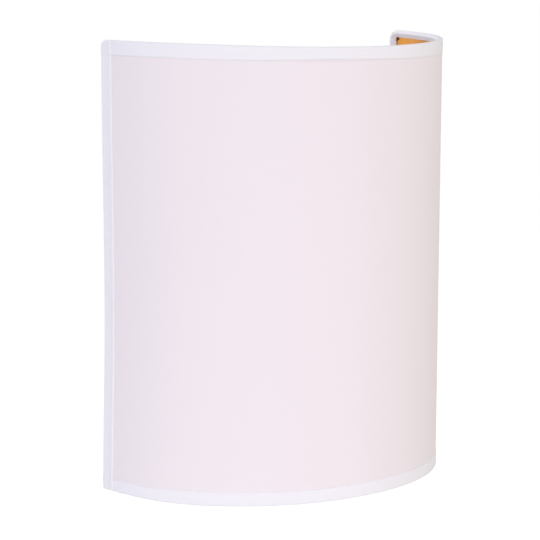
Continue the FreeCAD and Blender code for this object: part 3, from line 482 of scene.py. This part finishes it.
class Surface:
    """A node material, with short ways to add noise, mixes and relief."""

    def __init__(self, name, color, roughness, metallic=0.0):
        self.material = bpy.data.materials.new(name)
        self.material.use_nodes = True
        self.tree = self.material.node_tree
        self.shader = self.tree.nodes["Principled BSDF"]
        self.shader.inputs["Base Color"].default_value = (*color, 1.0)
        self.shader.inputs["Roughness"].default_value = roughness
        self.shader.inputs["Metallic"].default_value = metallic
        self.color = color
        self.roughness = roughness
        self.relief = None

    def put(self, socket, value):
        """Link a socket to another one, or set its value."""
        if isinstance(value, bpy.types.NodeSocket):
            self.tree.links.new(value, socket)
        else:
            socket.default_value = value

    def node(self, kind, **inputs):
        node = self.tree.nodes.new(kind)
        for name, value in inputs.items():
            self.put(node.inputs[name.replace("_", " ")], value)
        return node

    def place(self, space="Object"):
        return self.node("ShaderNodeTexCoord").outputs[space]

    def noise(self, scale, stretch=(1, 1, 1), detail=2.0, space="Object"):
        mapping = self.node("ShaderNodeMapping", Vector=self.place(space), Scale=stretch)
        texture = self.node("ShaderNodeTexNoise", Vector=mapping.outputs[0], Scale=scale, Detail=detail)
        return texture.outputs[0]

    def calculate(self, operation, first, second=0.0):
        node = self.tree.nodes.new("ShaderNodeMath")
        node.operation = operation
        for socket, value in zip(node.inputs, (first, second)):
            self.put(socket, value)
        return node.outputs[0]

    def ranged(self, value, low, high, source=(0.25, 0.75)):
        node = self.node("ShaderNodeMapRange", Value=value, From_Min=source[0], From_Max=source[1],
                         To_Min=low, To_Max=high)
        return node.outputs[0]

    def tint(self, factor, other):
        """Mix the colour so far towards another, by a factor."""
        mix = self.tree.nodes.new("ShaderNodeMix")
        mix.data_type = "RGBA"
        base = self.shader.inputs["Base Color"]
        if base.is_linked:
            self.tree.links.new(base.links[0].from_socket, mix.inputs[MIX_FIRST])
        else:
            mix.inputs[MIX_FIRST].default_value = (*self.color, 1.0)
        self.tree.links.new(factor, mix.inputs[0])
        mix.inputs[MIX_SECOND].default_value = (*other, 1.0)
        self.tree.links.new(mix.outputs[MIX_RESULT], base)

    def mottle(self, scale, amount, **where):
        """Uneven colour: darker where the noise is high."""
        darker = [channel * (1.0 - amount) for channel in self.color]
        self.tint(self.ranged(self.noise(scale, **where), 0.0, 1.0), darker)

    def rough(self, scale, amount, **where):
        """Uneven roughness, by so much either way."""
        noise = self.noise(scale, **where)
        value = self.ranged(noise, self.roughness - amount, self.roughness + amount)
        self.tree.links.new(value, self.shader.inputs["Roughness"])

    def emboss(self, height, distance, strength=1.0):
        """Relief, on top of the relief so far."""
        bump = self.node("ShaderNodeBump", Height=height, Distance=distance, Strength=strength)
        if self.relief:
            self.tree.links.new(self.relief, bump.inputs["Normal"])
        self.relief = bump.outputs[0]
        self.tree.links.new(self.relief, self.shader.inputs["Normal"])

    def set(self, **values):
        for name, value in values.items():
            self.shader.inputs[name.replace("_", " ")].default_value = value

    def weave(self, pitch):
        """Height of a plain weave whose threads lie pitch apart, from -1 to 1."""
        parts = self.node("ShaderNodeSeparateXYZ", Vector=self.place("UV"))
        waves = []
        for axis in (0, 1):
            turn = self.calculate("MULTIPLY", parts.outputs[axis], math.pi / pitch)
            waves.append(self.calculate("SINE", turn))
        return self.calculate("MULTIPLY", *waves)

    def worn_edges(self, other, amount):
        """Another colour along the sharp edges."""
        point = self.node("ShaderNodeNewGeometry").outputs["Pointiness"]
        edge = self.ranged(point, 0.0, amount, source=(0.52, 0.58))
        patchy = self.ranged(self.noise(300.0), 0.2, 1.0)
        self.tint(self.calculate("MULTIPLY", edge, patchy), other)


def cloth(name, color, pitch, mottle, painted_shadow_tint=None):
    """Woven cloth. seam, if given, is a painted shadow: the colour the cloth takes under the top rim's
    tape and just below that tape's edge, where the tape shades it.
    """
    surface = Surface(name, color, 0.86)
    surface.set(Sheen_Weight=0.12, Sheen_Roughness=0.45, Specular_IOR_Level=0.25)
    surface.mottle(420.0, mottle, detail=3.0)
    surface.mottle(1.0, mottle, stretch=(120.0, 2600.0, 1.0), space="UV")
    surface.mottle(1.0, mottle, stretch=(2600.0, 120.0, 1.0), space="UV")
    weave = surface.weave(pitch)
    # Painted shade: the cloth is darker between the threads of the weave, where they shade each other
    thread_gap_shade = surface.ranged(weave, 0.0, 0.05, source=(1.0, -1.0))
    surface.tint(thread_gap_shade, [channel * 0.6 for channel in color])
    # Painted shadow line: tint the cloth under the top tape and just below its edge, where the tape
    # shades it
    if painted_shadow_tint:
        up = surface.node("ShaderNodeSeparateXYZ", Vector=surface.place("UV")).outputs[1]
        line = HALF_HEIGHT - TOP_LEG
        shade = surface.ranged(up, 0.0, 1.0, source=(line - 0.5 * MM, line + 0.7 * MM))
        surface.tint(shade, painted_shadow_tint)
    surface.emboss(weave, 0.05 * MM, 0.5)
    surface.emboss(surface.noise(900.0, detail=3.0), 0.06 * MM, 0.5)
    return surface.material


def gold_film():
    surface = Surface("gold_film", (0.41, 0.167, 0.015), 0.42, 0.75)
    surface.mottle(160.0, 0.12, detail=4.0)
    surface.mottle(1.0, 0.10, stretch=(900.0, 40.0, 1.0), space="UV")
    surface.rough(220.0, 0.07)
    surface.emboss(surface.noise(1.0, stretch=(1600.0, 60.0, 1.0), space="UV"), 0.03 * MM, 0.6)
    surface.emboss(surface.noise(90.0, detail=3.0), 0.15 * MM, 0.35)
    return surface.material


def powder_coat():
    surface = Surface("powder_coat", (0.86, 0.86, 0.85), 0.38)
    surface.mottle(60.0, 0.03, detail=3.0)
    surface.rough(500.0, 0.06)
    surface.emboss(surface.noise(1500.0, detail=2.0), 0.05 * MM, 0.4)
    surface.worn_edges((0.62, 0.62, 0.63), 0.35)
    surface.set(Coat_Weight=0.1)
    return surface.material


def bright_metal(name, color, roughness, grain, stretch=(1, 1, 1)):
    surface = Surface(name, color, roughness, 1.0)
    surface.mottle(grain / 8.0, 0.12, detail=4.0)
    surface.mottle(grain, 0.08, stretch=stretch)
    surface.rough(grain / 4.0, roughness * 0.35, detail=4.0)
    surface.emboss(surface.noise(grain, stretch=stretch, detail=3.0), 0.02 * MM, 0.4)
    surface.worn_edges([min(channel * 1.15, 1.0) for channel in color], 0.6)
    return surface.material


def moulded(name, color, roughness, grain=900.0, relief=0.03 * MM, **values):
    surface = Surface(name, color, roughness)
    surface.mottle(45.0, 0.03, detail=3.0)
    surface.rough(grain / 3.0, 0.05)
    surface.emboss(surface.noise(grain, detail=2.0), relief, 0.4)
    surface.worn_edges([channel * 0.93 for channel in color], 0.5)
    surface.set(**values)
    return surface.material


# How far each colour of light scatters in a milky plastic
SCATTER = (1.0, 0.9, 0.8)

MATERIALS = {
    # The white fabric carries a painted shadow line under the top tape's edge
    "fabric": cloth("white_fabric", (0.872, 0.790, 0.848), 0.36 * MM, 0.022,
                    painted_shadow_tint=(0.80, 0.73, 0.78)),
    "tape": cloth("tape_fabric", (0.878, 0.845, 0.915), 0.24 * MM, 0.012),
    "gold_film": gold_film(),
    "white_enamel": powder_coat(),
    "bright_steel": bright_metal("bright_steel", (0.62, 0.63, 0.65), 0.32, 1800.0),
    "brass": bright_metal("brass", (0.78, 0.58, 0.27), 0.30, 1600.0),
    "aluminium": bright_metal("drawn_aluminium", (0.77, 0.78, 0.79), 0.28, 1400.0,
                              stretch=(1, 1, 9)),
    "rubber": moulded("black_rubber", (0.035, 0.035, 0.037), 0.72, 1200.0, 0.08 * MM),
    "clear_nylon": moulded("milky_nylon", (0.80, 0.82, 0.79), 0.40, Subsurface_Weight=0.25,
                           Subsurface_Radius=SCATTER, Subsurface_Scale=2.0 * MM),
    "white_thermoplastic": moulded("white_thermoplastic", (0.85, 0.85, 0.83), 0.30,
                                   Coat_Weight=0.15),
    "ceramic": moulded("steatite", (0.84, 0.82, 0.77), 0.60, 700.0, 0.10 * MM),
    "black_glass": moulded("black_glass", (0.02, 0.02, 0.025), 0.12, 600.0, 0.02 * MM,
                           Coat_Weight=0.6),
    "bulb_plastic": moulded("bulb_plastic", (0.88, 0.88, 0.87), 0.34),
    "yellow_phosphor": moulded("yellow_phosphor", (0.83, 0.68, 0.10), 0.45, 2500.0, 0.06 * MM),
    "opal_plastic": moulded("opal_plastic", (0.92, 0.92, 0.90), 0.36, Subsurface_Weight=0.3,
                            Subsurface_Radius=SCATTER, Subsurface_Scale=3.0 * MM),
}

for part in frame["record"]["subparts"]:
    for material_slot in frame["nodes"][part["node"]].material_slots:
        material_slot.material = MATERIALS[part["material_slot"]]


# Pieces that stand for the soft nodes and the wire

def dress(piece, body, slot, *nodes):
    """Give a piece the material of a slot and a body, and hide the nodes that it stands for."""
    piece.data.materials.append(MATERIALS[slot])
    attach(piece, body)
    if nodes:
        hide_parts(*nodes)
    return piece


cover = dress(laminate("shade_fabric", FABRIC_FACE, FABRIC_THICKNESS), "shade", "fabric", "fabric_cover")
lining = dress(laminate("shade_lining", LINING_FACE + LINING_THICKNESS, LINING_THICKNESS),
               "shade", "gold_film", "gold_lining")
wire = dress(wire_frame(), "shade", "bright_steel", "rim_wire")
rim_tapes = [
    dress(rim_tape("tape_top", 1), "shade", "tape", "top_trim"),
    dress(rim_tape("tape_bottom", -1), "shade", "tape", "bottom_trim")]
side_tapes = [
    dress(side_tape("tape_left", -1), "shade", "tape", "left_side_trim"),
    dress(side_tape("tape_right", 1), "shade", "tape", "right_side_trim")]
folds = [
    dress(corner_fold("lining_fold_left", -1), "shade", "gold_film"),
    dress(corner_fold("lining_fold_right", 1), "shade", "gold_film")]


# Floor, lamps, world and camera

FLOOR_LEVEL = -0.60
FLOOR_HALF = 30.0
FLOOR_GREY = 0.70
FLOOR_GLOW = 0.58
SKY_LEVEL = 0.60


def seen_directly(tree):
    """1 for camera, mirror and see-through rays."""
    path = tree.nodes.new("ShaderNodeLightPath")
    total = path.outputs["Is Camera Ray"]
    for name in ("Is Glossy Ray", "Is Transmission Ray"):
        most = tree.nodes.new("ShaderNodeMath")
        most.operation = "MAXIMUM"
        tree.links.new(total, most.inputs[0])
        tree.links.new(path.outputs[name], most.inputs[1])
        total = most.outputs[0]
    return total


def floor():
    """Pale floor, which glows for the rays that see it directly."""
    corners = []
    for x, y in ((-1, -1), (1, -1), (1, 1), (-1, 1)):
        corners.append((x * FLOOR_HALF, y * FLOOR_HALF, FLOOR_LEVEL))
    mesh = bpy.data.meshes.new("floor")
    mesh.from_pydata(corners, [], [(0, 1, 2, 3)])
    plane = bpy.data.objects.new("floor", mesh)
    bpy.context.scene.collection.objects.link(plane)
    material = bpy.data.materials.new("pale_floor")
    material.use_nodes = True
    tree = material.node_tree
    tree.nodes.clear()
    matt = tree.nodes.new("ShaderNodeBsdfDiffuse")
    matt.inputs["Color"].default_value = (FLOOR_GREY, FLOOR_GREY, FLOOR_GREY, 1.0)
    level = tree.nodes.new("ShaderNodeMath")
    level.operation = "MULTIPLY"
    level.inputs[1].default_value = FLOOR_GLOW
    tree.links.new(seen_directly(tree), level.inputs[0])
    glow = tree.nodes.new("ShaderNodeEmission")
    tree.links.new(level.outputs[0], glow.inputs["Strength"])
    total = tree.nodes.new("ShaderNodeAddShader")
    output = tree.nodes.new("ShaderNodeOutputMaterial")
    tree.links.new(matt.outputs[0], total.inputs[0])
    tree.links.new(glow.outputs[0], total.inputs[1])
    tree.links.new(total.outputs[0], output.inputs["Surface"])
    mesh.materials.append(material)


def lamp(name, place, size, power, color):
    """Square area lamp that faces the middle of the light and isn't seen itself."""
    light = bpy.data.lights.new(name, "AREA")
    light.size = size
    light.energy = power
    light.color = color
    holder = bpy.data.objects.new(name, light)
    holder.location = place
    holder.rotation_mode = "QUATERNION"
    holder.rotation_quaternion = (-Vector(place)).to_track_quat("-Z", "Y")
    holder.visible_camera = False
    bpy.context.scene.collection.objects.link(holder)


def world():
    """Sky that lights the part softly, and is white where it is seen directly."""
    sky = bpy.data.worlds.new("studio")
    sky.use_nodes = True
    tree = sky.node_tree
    background = tree.nodes["Background"]
    background.inputs["Color"].default_value = (1.0, 1.0, 1.0, 1.0)
    strength = tree.nodes.new("ShaderNodeMapRange")
    strength.inputs["To Min"].default_value = SKY_LEVEL
    strength.inputs["To Max"].default_value = 1.0
    tree.links.new(seen_directly(tree), strength.inputs["Value"])
    tree.links.new(strength.outputs[0], background.inputs["Strength"])
    bpy.context.scene.world = sky


def camera():
    data = bpy.data.cameras.new("camera")
    data.lens = CAMERA_LENS
    data.sensor_width = CAMERA_SENSOR
    data.clip_start = 0.05
    data.clip_end = 50.0
    holder = bpy.data.objects.new("camera", data)
    forward = Vector((math.sin(CAMERA_HEADING) * math.cos(CAMERA_PITCH),
                      math.cos(CAMERA_HEADING) * math.cos(CAMERA_PITCH),
                      -math.sin(CAMERA_PITCH)))
    level = Vector((math.cos(CAMERA_HEADING), -math.sin(CAMERA_HEADING), 0.0))
    upright = level.cross(forward)
    right = level * math.cos(CAMERA_ROLL) + upright * math.sin(CAMERA_ROLL)
    up = upright * math.cos(CAMERA_ROLL) - level * math.sin(CAMERA_ROLL)
    turn = Matrix((right, up, -forward)).transposed()
    holder.matrix_world = Matrix.Translation(CAMERA_PLACE) @ turn.to_4x4()
    bpy.context.scene.collection.objects.link(holder)
    bpy.context.scene.camera = holder


floor()
world()
lamp("key", place=(-1.2, -2.15, 0.9), size=1.6, power=28.2, color=(0.99, 0.987, 0.98))
lamp("left_fill", place=(-1.6, 1.3, 0.5), size=1.6, power=10.0, color=(0.70, 0.84, 1.0))
lamp("right_fill", place=(2.4, -1.2, 0.0), size=1.4, power=9.5, color=(1.0, 0.92, 0.44))
lamp("low_fill", place=(-0.4, -0.5, -0.45), size=0.4, power=0.58, color=(1.0, 0.98, 0.98))
lamp("inside_fill", place=(-0.08, 0.33, 0.22), size=0.25, power=0.60, color=(1.0, 0.98, 1.0))
camera()
bpy.context.scene.view_settings.view_transform = "Standard"
